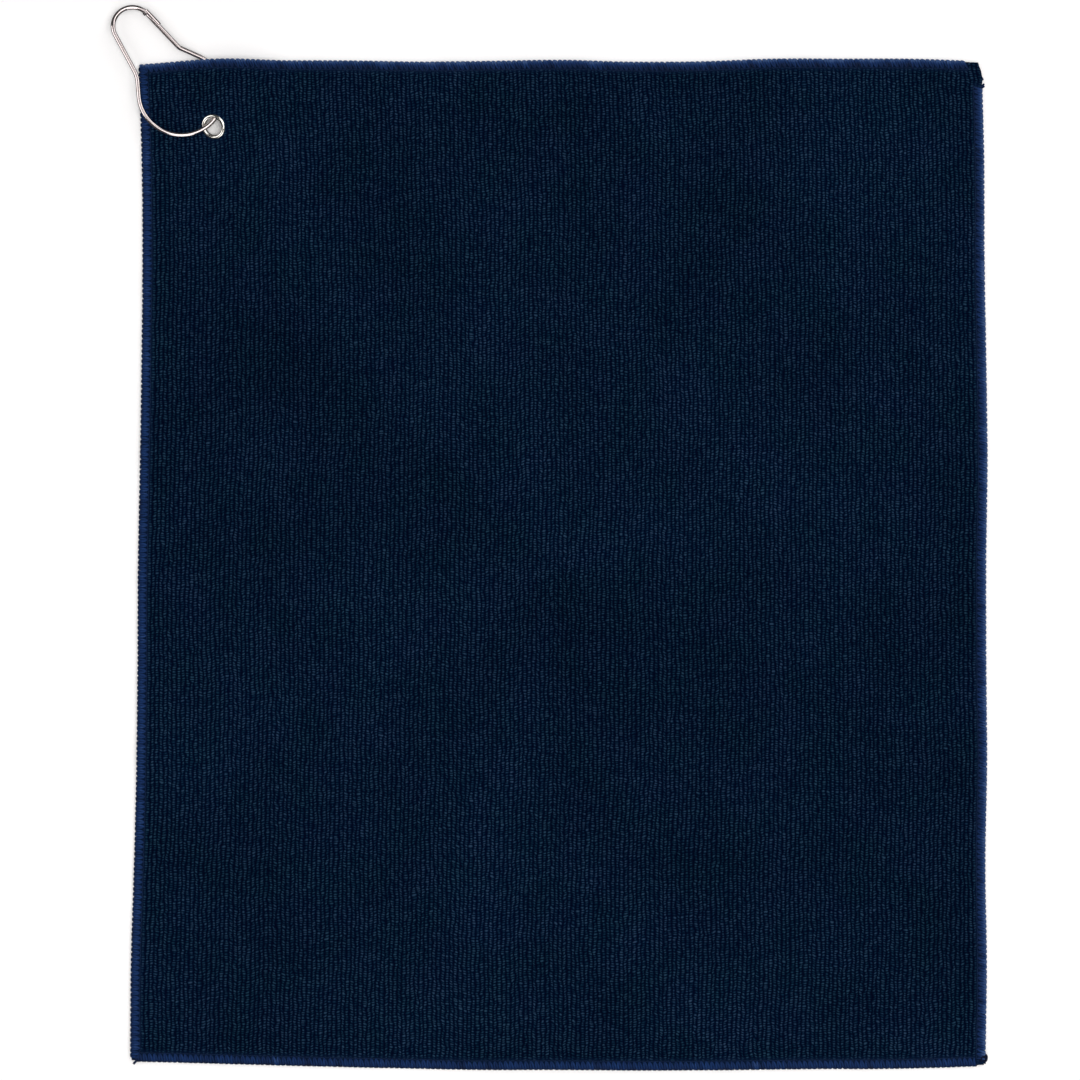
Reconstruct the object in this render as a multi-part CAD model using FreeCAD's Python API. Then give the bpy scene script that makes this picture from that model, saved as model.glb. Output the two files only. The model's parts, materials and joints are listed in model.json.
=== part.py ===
"""A microfibre golf towel with overlocked edges, a pressed grommet and a pear-shaped spring-wire clip.

The towel lies face up, with its long side along Y. The origin is the middle of the cloth's underside.
One corner of the cloth is lifted, because the clip's wire comes up through the grommet from underneath.
Units are millimetres.
"""

import FreeCAD
import Part

import math
import os

from FreeCAD import Vector

# The cloth and the overlock stitching round its edges.
TOWEL_WIDTH = 381.0
TOWEL_LENGTH = 457.2
CLOTH_THICK = 1.6
PINCHED_THICK = 0.8  # of the cloth under the stitching and under the grommet
BAND_WIDTH = 4.0
NEEDLE_WIDTH = 0.5
LIP = 0.3  # how far the thread stands outside the cloth's cut edge
TAIL_RADIUS = 0.6
TAIL_LENGTH = 4.5
TAIL_LEAN = 8.0  # degrees, away from the edge

# The grommet: an eyelet pressed over a washer.
GROMMET_FROM_LEFT = 34.0
GROMMET_FROM_TOP = 29.7
HOLE_RADIUS = 4.0
SHEET_METAL = 0.35
FLANGE_RADIUS = 5.8
FLANGE_CROWN = 0.65
WASHER_THICK = 0.25
ROLL_RADIUS = 5.0

# The clip: one spring wire, bent to a pear.
WIRE_RADIUS = 1.0
LOOP_RADIUS = 8.8
BULB_RADIUS = 19.0
CENTRES = 37.6  # from the bulb's centre to the small loop's
FLARE = 7.6  # degrees, each straight side against the pear's axis
SIDE_LENGTH = 21.2  # of a straight side, to the corner of the neck
BACK_NECK_RADIUS = 13.0
GATE_NECK_RADIUS = 5.0
CLIP_AXIS = 125.7  # degrees, from +X to the line from the bulb to the small loop
CLIP_SLOPE = 7.6  # degrees, falling to the upper right
GATE_SIDE_HEIGHT = 1.75  # of the wire's middle, where the clip lies on the table
WIRE_FROM_HOLE = 2.0  # how far the wire passes from the middle of the hole

# The catch at the end of the wire, which the gate springs into.
CATCH_LENGTH = 7.5
COLLAR_LENGTH = 1.2
CATCH_WALL = 0.4
CATCH_GAP = 0.1
GATE_END_GAP = 0.4
PIVOT_GAP = 0.03

# The lifted corner of the cloth.
PATCH = 78.0  # side of the square that holds the lifted corner
POLE_STEP = 3.0
LIFT = 5.5
LIFT_RUN = 17.0  # the length over which the cloth climbs through the grommet
UPHILL_ANGLE = 45.0  # degrees from +X, the way the cloth climbs and the wire runs through the hole
RIDGE_FLAT_INSIDE = 5.0
RIDGE_FLAT_OUTSIDE = 7.0
RIDGE_FOOT_INSIDE = 17.5
RIDGE_FOOT_OUTSIDE = 34.0
RIDGE_FROM = 25.0  # degrees round the bulb, where the ridge starts to fall
RIDGE_TO = 165.0
EDGE_FLAT = 5.0
EDGE_RUN = 15.0

LEFT, RIGHT = -TOWEL_WIDTH / 2, TOWEL_WIDTH / 2
BOTTOM, TOP = -TOWEL_LENGTH / 2, TOWEL_LENGTH / 2
HALF = CLOTH_THICK / 2
CORE = PINCHED_THICK / 2
PATCH_RIGHT = LEFT + PATCH
PATCH_BOTTOM = TOP - PATCH
TALL = 60.0  # taller than anything here
SMOOTH_SLOPE = 1.5  # the steepest slope of the smooth step


def smooth(t):
    """0 before t = 0, 1 after t = 1, and a smooth step between."""
    t = min(1.0, max(0.0, t))
    return t * t * (3 - 2 * t)


# ---------------------------------------------------------------- places of the clip and the grommet

AXIS_ANGLE = math.radians(CLIP_AXIS)
GATE_SIDE = Vector(math.sin(AXIS_ANGLE), -math.cos(AXIS_ANGLE), 0)
TO_LOOP = Vector(math.cos(AXIS_ANGLE), math.sin(AXIS_ANGLE), 0)
GROMMET_AT = Vector(LEFT + GROMMET_FROM_LEFT, TOP - GROMMET_FROM_TOP, 0)
UPHILL = Vector(math.cos(math.radians(UPHILL_ANGLE)), math.sin(math.radians(UPHILL_ANGLE)), 0)
OUTWARD = Vector(UPHILL.y, -UPHILL.x, 0)
BULB_AT = GROMMET_AT - OUTWARD * (WIRE_FROM_HOLE + BULB_RADIUS)


def on_pear(u, v):
    """A point of the clip laid flat: u towards the gate, v towards the small loop, from the bulb's centre."""
    return BULB_AT + GATE_SIDE * u + TO_LOOP * v


def side_points(sign):
    """One side of the pear: where it leaves the loop, the corner of the neck, and where it joins the bulb."""
    flare = math.radians(FLARE)
    leaves = (LOOP_RADIUS * math.cos(flare), CENTRES + LOOP_RADIUS * math.sin(flare))
    neck = (leaves[0] + SIDE_LENGTH * math.sin(flare), leaves[1] - SIDE_LENGTH * math.cos(flare))
    reach = math.hypot(*neck)
    turn = math.atan2(neck[1], neck[0]) - math.acos(BULB_RADIUS / reach)
    joins = (BULB_RADIUS * math.cos(turn), BULB_RADIUS * math.sin(turn))
    return [on_pear(sign * u, v) for u, v in (leaves, neck, joins)]


GATE_TOP, GATE_NECK, GATE_JOIN = side_points(1)
BACK_TOP, BACK_NECK, BACK_JOIN = side_points(-1)
ALONG_GATE = (GATE_TOP - GATE_NECK).normalize()
GATE_OUT = Vector(ALONG_GATE.y, -ALONG_GATE.x, 0)


def tilted(shape_or_point):
    """The clip, drawn flat at height 0, put where it lies: its gate side on the table, its bulb raised."""
    turn = FreeCAD.Rotation(ALONG_GATE, CLIP_SLOPE)
    place = FreeCAD.Placement(Vector(0, 0, GATE_SIDE_HEIGHT), turn, GATE_TOP)
    if isinstance(shape_or_point, Vector):
        return place.multVec(shape_or_point)
    shape_or_point.Placement = place.multiply(shape_or_point.Placement)
    return shape_or_point


def grommet_place():
    """The grommet's frame, in the middle of the cloth half-way up the climb, square to the slope."""
    steepest = SMOOTH_SLOPE * LIFT / LIFT_RUN
    turn = FreeCAD.Rotation(OUTWARD, math.degrees(math.atan(steepest)))
    return FreeCAD.Placement(GROMMET_AT + Vector(0, 0, LIFT / 2 + HALF), turn)


# ---------------------------------------------------------------- the cloth's surface


def lift(x, y):
    """How far the cloth's underside stands above the table."""
    point = Vector(x, y, 0)
    climb = smooth((point - GROMMET_AT).dot(UPHILL) / LIFT_RUN + 0.5)
    across = point - BULB_AT
    beside = across.Length - BULB_RADIUS
    if beside > 0:
        ridge = 1 - smooth((beside - RIDGE_FLAT_OUTSIDE) / (RIDGE_FOOT_OUTSIDE - RIDGE_FLAT_OUTSIDE))
    else:
        ridge = 1 - smooth((-beside - RIDGE_FLAT_INSIDE) / (RIDGE_FOOT_INSIDE - RIDGE_FLAT_INSIDE))
    round_bulb = abs(math.degrees(math.atan2(across.dot(UPHILL), across.dot(OUTWARD))))
    fall = 1 - smooth((round_bulb - RIDGE_FROM) / (RIDGE_TO - RIDGE_FROM))
    edge = smooth((x - LEFT - EDGE_FLAT) / EDGE_RUN)
    return LIFT * climb * ridge * fall * edge


def patch_face(height):
    """The lifted corner's surface, height above the cloth's middle, as one cubic B-spline."""
    spans = int(PATCH / POLE_STEP)
    knots = [float(k) for k in range(spans + 1)]
    mults = [4] + [1] * (spans - 1) + [4]
    full = [0.0] * 3 + knots + [float(spans)] * 3
    share = [sum(full[i + 1 : i + 4]) / 3 / spans for i in range(spans + 3)]
    poles = []
    for a in share:
        x = LEFT + a * PATCH
        row = []
        for b in share:
            y = PATCH_BOTTOM + b * PATCH
            inner = a > 1 - 2 / spans or b < 2 / spans
            row.append(Vector(x, y, HALF + height + (0 if inner else lift(x, y))))
        poles.append(row)
    surface = Part.BSplineSurface()
    surface.buildFromPolesMultsKnots(poles, mults, mults, knots, knots, False, False, 3, 3)
    return surface.toShape()


def box(x0, x1, y0, y1, z0, z1):
    x0, x1 = sorted((x0, x1))
    return Part.makeBox(x1 - x0, y1 - y0, z1 - z0, Vector(x0, y0, z0))


def layer(low, high, x0, x1, y0, y1):
    """The part of the sheet between two heights above its middle, over a rectangle."""
    flat = box(x0, x1, y0, y1, HALF + low, HALF + high)
    if x0 >= PATCH_RIGHT or y1 <= PATCH_BOTTOM:
        return flat
    raised = patch_face(low).extrude(Vector(0, 0, high - low))
    raised = raised.common(box(x0, x1, y0, y1, -TALL, TALL))
    rest = flat.cut(box(LEFT - 1, PATCH_RIGHT, PATCH_BOTTOM, TOP + 1, -TALL, TALL))
    return raised.fuse(rest).removeSplitter() if rest.Solids else raised


# ---------------------------------------------------------------- cloth and stitching


def strip(side, near, far, short):
    """The rectangle from near to far inside one edge. Those of the long edges stop short of the corners."""
    low, high = BOTTOM + short, TOP - short
    return {
        "top": (LEFT, RIGHT, TOP - far, TOP - near),
        "bottom": (LEFT, RIGHT, BOTTOM + near, BOTTOM + far),
        "left": (LEFT + near, LEFT + far, low, high),
        "right": (RIGHT - far, RIGHT - near, low, high),
    }[side]


def overlock(side):
    """The three threads of one edge: the front looper, the back looper and the needle thread."""
    seam = BAND_WIDTH - NEEDLE_WIDTH
    lip = strip(side, 0, LIP, LIP)
    front = layer(CORE, HALF, *strip(side, 0, seam, BAND_WIDTH)).fuse(layer(0, CORE, *lip))
    back = layer(-HALF, -CORE, *strip(side, 0, BAND_WIDTH, BAND_WIDTH)).fuse(layer(-CORE, 0, *lip))
    return {
        f"overlock_front_{side}": front.removeSplitter(),
        f"overlock_back_{side}": back.removeSplitter(),
        f"needle_seam_{side}": layer(CORE, HALF, *strip(side, seam, BAND_WIDTH, BAND_WIDTH)),
    }


def cloth(threads):
    """The whole sheet, less the space of the stitching and of the grommet, which pinch it."""
    sheet = layer(-HALF, HALF, LEFT, RIGHT, BOTTOM, TOP)
    sheet = sheet.cut(list(threads.values()))
    barrel = Part.makeCylinder(HOLE_RADIUS + SHEET_METAL, TALL, Vector(0, 0, -TALL / 2))
    above = Part.makeCylinder(FLANGE_RADIUS, TALL, Vector(0, 0, CORE))
    below = Part.makeCylinder(FLANGE_RADIUS, TALL, Vector(0, 0, -CORE - TALL))
    punch = barrel.fuse([above, below])
    punch.Placement = grommet_place()
    return sheet.cut(punch)


def thread_tail(edge, y, lean):
    """A cut end of the overlock chain: a short round tail, flat where it lies against a long edge."""
    start = Vector(edge, y, HALF)
    along = FreeCAD.Rotation(Vector(0, 0, 1), lean).multVec(Vector(0, 1, 0))
    tail = Part.makeCylinder(TAIL_RADIUS, TAIL_LENGTH, start, along)
    ends = [Part.makeSphere(TAIL_RADIUS, start), Part.makeSphere(TAIL_RADIUS, start + along * TAIL_LENGTH)]
    outside = box(edge, edge + math.copysign(TALL, edge), y - TALL, y + TALL, -TALL, TALL)
    return tail.fuse(ends).removeSplitter().common(outside)


def thread_tails():
    upper = TOP - TAIL_LENGTH - TAIL_RADIUS
    lower = BOTTOM + TAIL_RADIUS
    return {
        "thread_tail_top_right": thread_tail(RIGHT, upper, -TAIL_LEAN),
        "thread_tail_bottom_right": thread_tail(RIGHT, lower, -TAIL_LEAN),
        "thread_tail_bottom_left": thread_tail(LEFT, lower, TAIL_LEAN),
    }


# ---------------------------------------------------------------- grommet


def revolved(edges):
    face = Part.Face(Part.Wire(edges))
    ring = face.revolve(Vector(0, 0, 0), Vector(0, 0, 1), 360)
    ring.Placement = grommet_place()
    return ring


def profile_point(radius, height):
    return Vector(radius, 0, height)


def line(a, b):
    return Part.LineSegment(a, b).toShape()


def arc(a, middle, b):
    return Part.Arc(a, middle, b).toShape()


def eyelet():
    """A domed flange on the face, a barrel through the cloth, and a lip rolled over the washer."""
    barrel = HOLE_RADIUS + SHEET_METAL
    crown = (HOLE_RADIUS + FLANGE_RADIUS) / 2
    seat = -CORE - WASHER_THICK
    rim = profile_point(FLANGE_RADIUS, CORE)
    rim_inside = profile_point(FLANGE_RADIUS - SHEET_METAL, CORE)
    neck_inside = profile_point(barrel, CORE)
    roll_top = profile_point(barrel, seat)
    roll_edge = profile_point(ROLL_RADIUS, seat)
    roll_inside = profile_point(HOLE_RADIUS, seat)
    mouth = profile_point(HOLE_RADIUS, CORE)
    return revolved([
        arc(mouth, profile_point(crown, CORE + FLANGE_CROWN), rim),
        line(rim, rim_inside),
        arc(rim_inside, profile_point(crown, CORE + FLANGE_CROWN - SHEET_METAL), neck_inside),
        line(neck_inside, roll_top),
        line(roll_top, roll_edge),
        arc(roll_edge, profile_point((HOLE_RADIUS + ROLL_RADIUS) / 2, seat - SHEET_METAL), roll_inside),
        line(roll_inside, mouth),
    ])


def washer():
    """A flat ring with a bevelled edge, clamped under the rolled lip."""
    inside = HOLE_RADIUS + SHEET_METAL
    corners = [
        profile_point(inside, -CORE),
        profile_point(FLANGE_RADIUS, -CORE),
        profile_point(FLANGE_RADIUS - WASHER_THICK / 2, -CORE - WASHER_THICK),
        profile_point(inside, -CORE - WASHER_THICK),
    ]
    return revolved([line(a, b) for a, b in zip(corners, corners[1:] + corners[:1])])


# ---------------------------------------------------------------- clip


def neck_arc(top, neck, join, radius):
    """The bend at a corner of the neck: its upper end, its middle and its lower end."""
    back, on = (top - neck).normalize(), (join - neck).normalize()
    half_angle = back.getAngle(on) / 2
    reach = radius / math.tan(half_angle)
    middle = neck + (back + on).normalize() * (radius / math.sin(half_angle) - radius)
    return neck + back * reach, middle, neck + on * reach


def round_rod(path):
    """A round wire along connected edges."""
    wire = Part.Wire(path)
    first = wire.Edges[0]
    start = first.valueAt(first.FirstParameter)
    heading = first.tangentAt(first.FirstParameter)
    ring = Part.Wire(Part.makeCircle(WIRE_RADIUS, start, heading))
    return wire.makePipeShell([ring], True, True)


def gate_pivot():
    """The gate flexes just above the neck, on the straight side."""
    upper = neck_arc(GATE_TOP, GATE_NECK, GATE_JOIN, GATE_NECK_RADIUS)[0]
    return upper + ALONG_GATE * (WIRE_RADIUS + PIVOT_GAP)


def catch():
    """A collar on the end of the wire, and a half tube that holds the gate's end from outside."""
    inside = WIRE_RADIUS + CATCH_GAP
    outside = inside + CATCH_WALL
    end = GATE_TOP - ALONG_GATE * CATCH_LENGTH
    collar = Part.makeCylinder(outside, COLLAR_LENGTH, GATE_TOP, ALONG_GATE)
    tube = Part.makeCylinder(outside, CATCH_LENGTH, end, ALONG_GATE)
    tube = tube.cut(Part.makeCylinder(inside, CATCH_LENGTH, end, ALONG_GATE))
    mouth = Part.makeBox(CATCH_LENGTH, outside, 2 * outside)
    turn = FreeCAD.Rotation(ALONG_GATE, GATE_OUT * -1, Vector(0, 0, 1), "XYZ")
    mouth.Placement = FreeCAD.Placement(end - Vector(0, 0, outside), turn)
    return collar.fuse(tube.cut(mouth))


def clip_frame():
    """The wire from the catch, over the small loop, down the back and round the bulb to the gate's root."""
    back_upper, back_middle, back_lower = neck_arc(BACK_TOP, BACK_NECK, BACK_JOIN, BACK_NECK_RADIUS)
    gate_upper, gate_middle, gate_lower = neck_arc(GATE_TOP, GATE_NECK, GATE_JOIN, GATE_NECK_RADIUS)
    wire = round_rod([
        arc(GATE_TOP, on_pear(0, CENTRES + LOOP_RADIUS), BACK_TOP),
        line(BACK_TOP, back_upper),
        arc(back_upper, back_middle, back_lower),
        line(back_lower, BACK_JOIN),
        arc(BACK_JOIN, on_pear(0, -BULB_RADIUS), GATE_JOIN),
        line(GATE_JOIN, gate_lower),
        arc(gate_lower, gate_middle, gate_upper),
    ])
    return tilted(wire.fuse(catch()).removeSplitter())


def clip_gate():
    """The springy side of the wire. Its root is round, so that it can turn against the frame's end."""
    pivot = gate_pivot()
    tip = GATE_TOP - ALONG_GATE * GATE_END_GAP
    rod = Part.makeCylinder(WIRE_RADIUS, (tip - pivot).Length, pivot, ALONG_GATE)
    return tilted(rod.fuse(Part.makeSphere(WIRE_RADIUS, pivot)).removeSplitter())


# ---------------------------------------------------------------- export


def build():
    nodes = {}
    for side in ("top", "bottom", "left", "right"):
        nodes.update(overlock(side))
    nodes["towel_cloth"] = cloth(nodes)
    nodes.update(thread_tails())
    nodes["grommet_eyelet"] = eyelet()
    nodes["grommet_washer"] = washer()
    nodes["clip_frame_wire"] = clip_frame()
    nodes["clip_gate_wire"] = clip_gate()
    return nodes


def main():
    os.makedirs("parts", exist_ok=True)
    for name, shape in build().items():
        box_mm = shape.BoundBox
        print(f"{name}: valid {shape.isValid()}, solids {len(shape.Solids)}, volume {shape.Volume:.2f}, "
              f"z {box_mm.ZMin:.2f} to {box_mm.ZMax:.2f}")
        shape.exportStep(f"parts/{name}.step")
    for name, point in (("gate pivot", tilted(gate_pivot())), ("bulb centre", tilted(BULB_AT)),
                        ("loop centre", tilted(on_pear(0, CENTRES))), ("grommet", grommet_place().Base)):
        print(name, [round(c / 1000, 6) for c in point])


main()
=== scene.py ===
import json
import math

import bmesh
import bpy
import numpy as np
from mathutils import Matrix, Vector
from mathutils.bvhtree import BVHTree


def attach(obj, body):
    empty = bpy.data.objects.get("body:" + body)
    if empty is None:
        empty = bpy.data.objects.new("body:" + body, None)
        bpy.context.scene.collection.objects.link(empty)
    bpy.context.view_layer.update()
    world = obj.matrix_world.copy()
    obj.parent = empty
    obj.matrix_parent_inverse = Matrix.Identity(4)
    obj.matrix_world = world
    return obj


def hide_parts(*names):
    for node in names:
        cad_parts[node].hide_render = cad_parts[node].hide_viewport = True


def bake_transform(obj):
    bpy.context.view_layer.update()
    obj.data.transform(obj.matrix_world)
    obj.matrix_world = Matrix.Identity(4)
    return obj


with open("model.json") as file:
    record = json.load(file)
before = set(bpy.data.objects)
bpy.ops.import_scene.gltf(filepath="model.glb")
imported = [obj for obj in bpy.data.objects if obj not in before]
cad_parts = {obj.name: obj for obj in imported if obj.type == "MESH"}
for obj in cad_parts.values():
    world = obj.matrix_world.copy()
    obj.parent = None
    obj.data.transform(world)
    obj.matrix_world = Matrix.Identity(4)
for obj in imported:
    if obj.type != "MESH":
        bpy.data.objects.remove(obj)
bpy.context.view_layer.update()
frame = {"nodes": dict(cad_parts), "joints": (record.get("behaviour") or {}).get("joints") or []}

MM = 0.001

# Lengths are in millimetres. On the cloth, a is counted from its left edge and b from its bottom edge.

# The cloth: its flat size, half its thickness, its ribs and the loops along them.
WIDTH, LENGTH = 381.0, 457.2
LEFT, BOTTOM = -WIDTH / 2, -LENGTH / 2
HALF_THICK = 0.8
PINCHED = 0.42
PINCHED_AT_GROMMET = 0.4
RIBS = 196
RIB_PITCH = WIDTH / RIBS
RIB_DEPTH = 0.40
RIB_PROFILE = np.array([0.0, 0.72, 1.0, 0.72])
LOOP_PITCH = 1.14

# Which way each edge faces, and how far along it the stitching runs.
EDGES = ("left", "right", "bottom", "top")
OUTWARD = {"left": (-1, 0, 0), "right": (1, 0, 0), "bottom": (0, -1, 0), "top": (0, 1, 0)}
EXTENT = {"left": (1.2, LENGTH - 1.2), "right": (3.2, LENGTH - 11.2),
          "bottom": (1.2, WIDTH - 4.6), "top": (1.2, WIDTH - 5.6)}

# How far the real edges stray outwards from the straight ones, from the bottom up or from the left.
LEFT_STRAY = [3.7, 3.4, 2.0, 0.9, 0.4, 0.2, -0.7, -1.4, -1.8, -1.5, 0.0]
RIGHT_STRAY = [2.2, 2.9, 2.2, 3.0, 2.7, 2.6, 3.2, 2.7, 1.9, 1.7, 0.6]
TOP_STRAY = [-1.6, 0.6, 0.3, 0.25, -0.3, 0.0, 0.45, -0.35, -0.2, 0.95, 1.0, 1.0, -0.1]
BOTTOM_STRAY = [-4.4, -3.4, -2.35, -1.4, -0.6, -0.6, -0.3, -0.5, -0.95, -1.1, -2.3]

# The upper right corner is bare. It is trimmed to a slant, which fades out over its reach from the right
# edge, and it stands out a little past the stitching's end.
TRIM_LENGTH, TRIM_DEPTH, TRIM_REACH = 7.5, 2.0, 14.0
BARE_BULGE, BARE_FROM, BARE_RUN = 0.9, 1.0, 2.0

# The ribs sway by tenths of a millimetre except near the edges, and the edges ripple up from the table.
SWAY_FADE = 12.0
RIPPLE, RIPPLE_REACH = 0.16, 3.0

# The cloth lies in low waves away from the lifted corner, and flat in the grommet's clamp.
WAVE_HEIGHT, WAVE_MEAN = 0.22, 1.6
WAVES_FROM, WAVES_RUN = 70.0, 60.0
FLAT_TO, FLAT_FADE = 9.0, 2.6

# The grid of heights over the lifted corner of the CAD model's cloth, and where its rays start.
GRID_STEP = 1.5
GRID_SIDE = 54
GRID_INSET = 0.05
ABOVE_ALL = 50.0


def smooth(t):
    t = np.clip(t, 0.0, 1.0)
    return t * t * (3 - 2 * t)


def through(values, t):
    """A smooth curve through evenly spaced values, at t from 0 to 1."""
    values = np.asarray(values, float)
    slopes = np.gradient(values)
    at = np.clip(t, 0.0, 1.0) * (len(values) - 1)
    i = np.clip(at.astype(int), 0, len(values) - 2)
    f = at - i
    a, b, sa, sb = values[i], values[i + 1], slopes[i], slopes[i + 1]
    return a + sa * f + (3 * (b - a) - 2 * sa - sb) * f**2 + (2 * (a - b) + sa + sb) * f**3


# ---------------------------------------------------------------- the lie of the cloth


def cad_points(node):
    mesh = frame["nodes"][node].data
    points = np.empty(len(mesh.vertices) * 3)
    mesh.vertices.foreach_get("co", points)
    return points.reshape(-1, 3) / MM


def upper_face():
    """Everything that makes the upper face of the towel in the CAD model, as one tree."""
    names = ["towel_cloth"] + [k + s for k in ("overlock_front_", "needle_seam_") for s in ("top", "left")]
    points, faces = [], []
    for name in names:
        start = len(points)
        points.extend(cad_points(name).tolist())
        faces.extend([start + i for i in p.vertices] for p in frame["nodes"][name].data.polygons)
    return BVHTree.FromPolygons(points, faces)


def height_grid():
    """The height of the cloth's middle over the lifted corner."""
    tree = upper_face()
    grid = np.zeros((GRID_SIDE, GRID_SIDE))
    for i in range(GRID_SIDE):
        x = LEFT + GRID_INSET + i * GRID_STEP
        for j in range(GRID_SIDE):
            y = -BOTTOM - GRID_INSET - j * GRID_STEP
            hit = tree.ray_cast(Vector((x, y, ABOVE_ALL)), Vector((0, 0, -1)))[0]
            grid[i, j] = (hit.z if hit else 2 * HALF_THICK) - HALF_THICK
    return grid


def grommet_frame():
    """The grommet's middle, and its axis out of the towel's face."""
    points = cad_points("grommet_eyelet")
    middle = points.mean(0)
    axis = np.linalg.svd(points - middle, full_matrices=False)[2][2]
    return middle, axis * np.sign(axis[2])


def crown_shift():
    """How far the eyelet's mean point lies above the middle of the cloth, along its axis."""
    washer = cad_points("grommet_washer")
    top_of_washer = ((washer - GROMMET) @ GROMMET_AXIS).max()
    return -(top_of_washer + PINCHED_AT_GROMMET)


GRID = height_grid()
GROMMET, GROMMET_AXIS = grommet_frame()
CROWN_SHIFT = crown_shift()


def from_grommet(x, y, z):
    """Distance from the grommet's axis."""
    away = np.stack([x - GROMMET[0], y - GROMMET[1], z - GROMMET[2]], -1)
    along = away @ GROMMET_AXIS
    return np.linalg.norm(away - along[..., None] * GROMMET_AXIS, axis=-1)


def grommet_plane(x, y):
    """Height of the plane through the middle of the pinched cloth, square to the grommet's axis."""
    n = GROMMET_AXIS
    on_axis = GROMMET - n * CROWN_SHIFT
    return on_axis[2] - ((x - on_axis[0]) * n[0] + (y - on_axis[1]) * n[1]) / n[2]


def middle_height(x, y):
    """Height of the cloth's middle at a place on the table."""
    gx = np.clip((x - LEFT - GRID_INSET) / GRID_STEP, 0, GRID_SIDE - 1.001)
    gy = np.clip((-BOTTOM - GRID_INSET - y) / GRID_STEP, 0, GRID_SIDE - 1.001)
    i, j = gx.astype(int), gy.astype(int)
    fx, fy = gx - i, gy - j
    lifted = (GRID[i, j] * (1 - fx) + GRID[i + 1, j] * fx) * (1 - fy)
    lifted += (GRID[i, j + 1] * (1 - fx) + GRID[i + 1, j + 1] * fx) * fy
    inside = (gx < GRID_SIDE - 1.01) & (gy < GRID_SIDE - 1.01)
    lie = np.where(inside, lifted, HALF_THICK)
    near = smooth((FLAT_TO - from_grommet(x, y, lie)) / FLAT_FADE)
    lie = lie * (1 - near) + grommet_plane(x, y) * near
    away = np.hypot(x - GROMMET[0], y - GROMMET[1])
    waves = np.sin(x / 31.0 + 1.1 * np.sin(y / 57.0)) * np.sin(y / 43.0 + x / 120.0 + 0.6)
    waves += 0.6 * np.sin(x / 17.0 - y / 71.0 + 2.0) * np.sin(y / 23.0 + 1.7)
    return lie + WAVE_HEIGHT * (WAVE_MEAN + waves) * smooth((away - WAVES_FROM) / WAVES_RUN)


def place(a, b):
    """Where a point of the flat cloth lies."""
    u, v = np.asarray(a, float) / WIDTH, np.asarray(b, float) / LENGTH
    u, v = np.broadcast_arrays(u, v)
    left = LEFT - through(LEFT_STRAY, v)
    right = -LEFT + through(RIGHT_STRAY, v)
    bottom = BOTTOM - through(BOTTOM_STRAY, u)
    top = -BOTTOM + through(TOP_STRAY, u)
    x = (1 - u) * left + u * right
    y = (1 - v) * bottom + v * top
    inner = smooth(np.minimum(np.minimum(u, 1 - u) * WIDTH, np.minimum(v, 1 - v) * LENGTH) / SWAY_FADE)
    sway = 0.20 * np.sin(b / 9.5 + 2.1 * np.sin(a / 37.0) + 0.7) + 0.22 * np.sin(b / 21.0 - a / 29.0 + 2.0)
    sway = sway + 0.30 * np.sin(b / 47.0 + a / 61.0)
    x = x + inner * sway
    edge = smooth(np.minimum(np.minimum(a, WIDTH - a), np.minimum(b, LENGTH - b)) / RIPPLE_REACH)
    ripple = (1 - edge) * RIPPLE * (np.sin(b / 4.3 + a / 5.1) + np.sin(b / 11.0 - a / 8.7 + 1.0))
    by_right = smooth((a - WIDTH) / TRIM_REACH + 1)
    trimmed = np.clip((b - (LENGTH - TRIM_LENGTH)) / TRIM_LENGTH, 0, 1)
    bulge = BARE_BULGE * smooth((b - EXTENT["right"][1] - BARE_FROM) / BARE_RUN)
    x = x + (bulge - TRIM_DEPTH * trimmed) * by_right
    return x, y, middle_height(x, y) + ripple * 0.5 + np.abs(ripple) * 0.5


# ---------------------------------------------------------------- mesh and material helpers


def new_mesh(name, points, faces, smooth_faces=True):
    mesh = bpy.data.meshes.new(name)
    faces = faces.tolist() if isinstance(faces, np.ndarray) else faces
    mesh.from_pydata(np.asarray(points, float) * MM, [], faces)
    mesh.polygons.foreach_set("use_smooth", [smooth_faces] * len(mesh.polygons))
    mesh.update()
    piece = bpy.data.objects.new(name, mesh)
    bpy.context.scene.collection.objects.link(piece)
    return piece


def set_uv(piece, per_point):
    """A UV map named weave, the same at every corner of a point."""
    mesh = piece.data
    corners = np.empty(len(mesh.loops), int)
    mesh.loops.foreach_get("vertex_index", corners)
    layer = mesh.uv_layers.new(name="weave")
    layer.data.foreach_set("uv", np.asarray(per_point, np.float32)[corners].ravel())


def set_value(piece, name, per_point):
    values = piece.data.attributes.new(name, "FLOAT", "POINT")
    values.data.foreach_set("value", np.asarray(per_point, np.float32))


def linear(colour):
    """The linear values of an sRGB colour given in 0 to 255."""
    return tuple(
        c / 255 / 12.92 if c / 255 <= 0.04045 else ((c / 255 + 0.055) / 1.055) ** 2.4 for c in colour
    )


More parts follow.
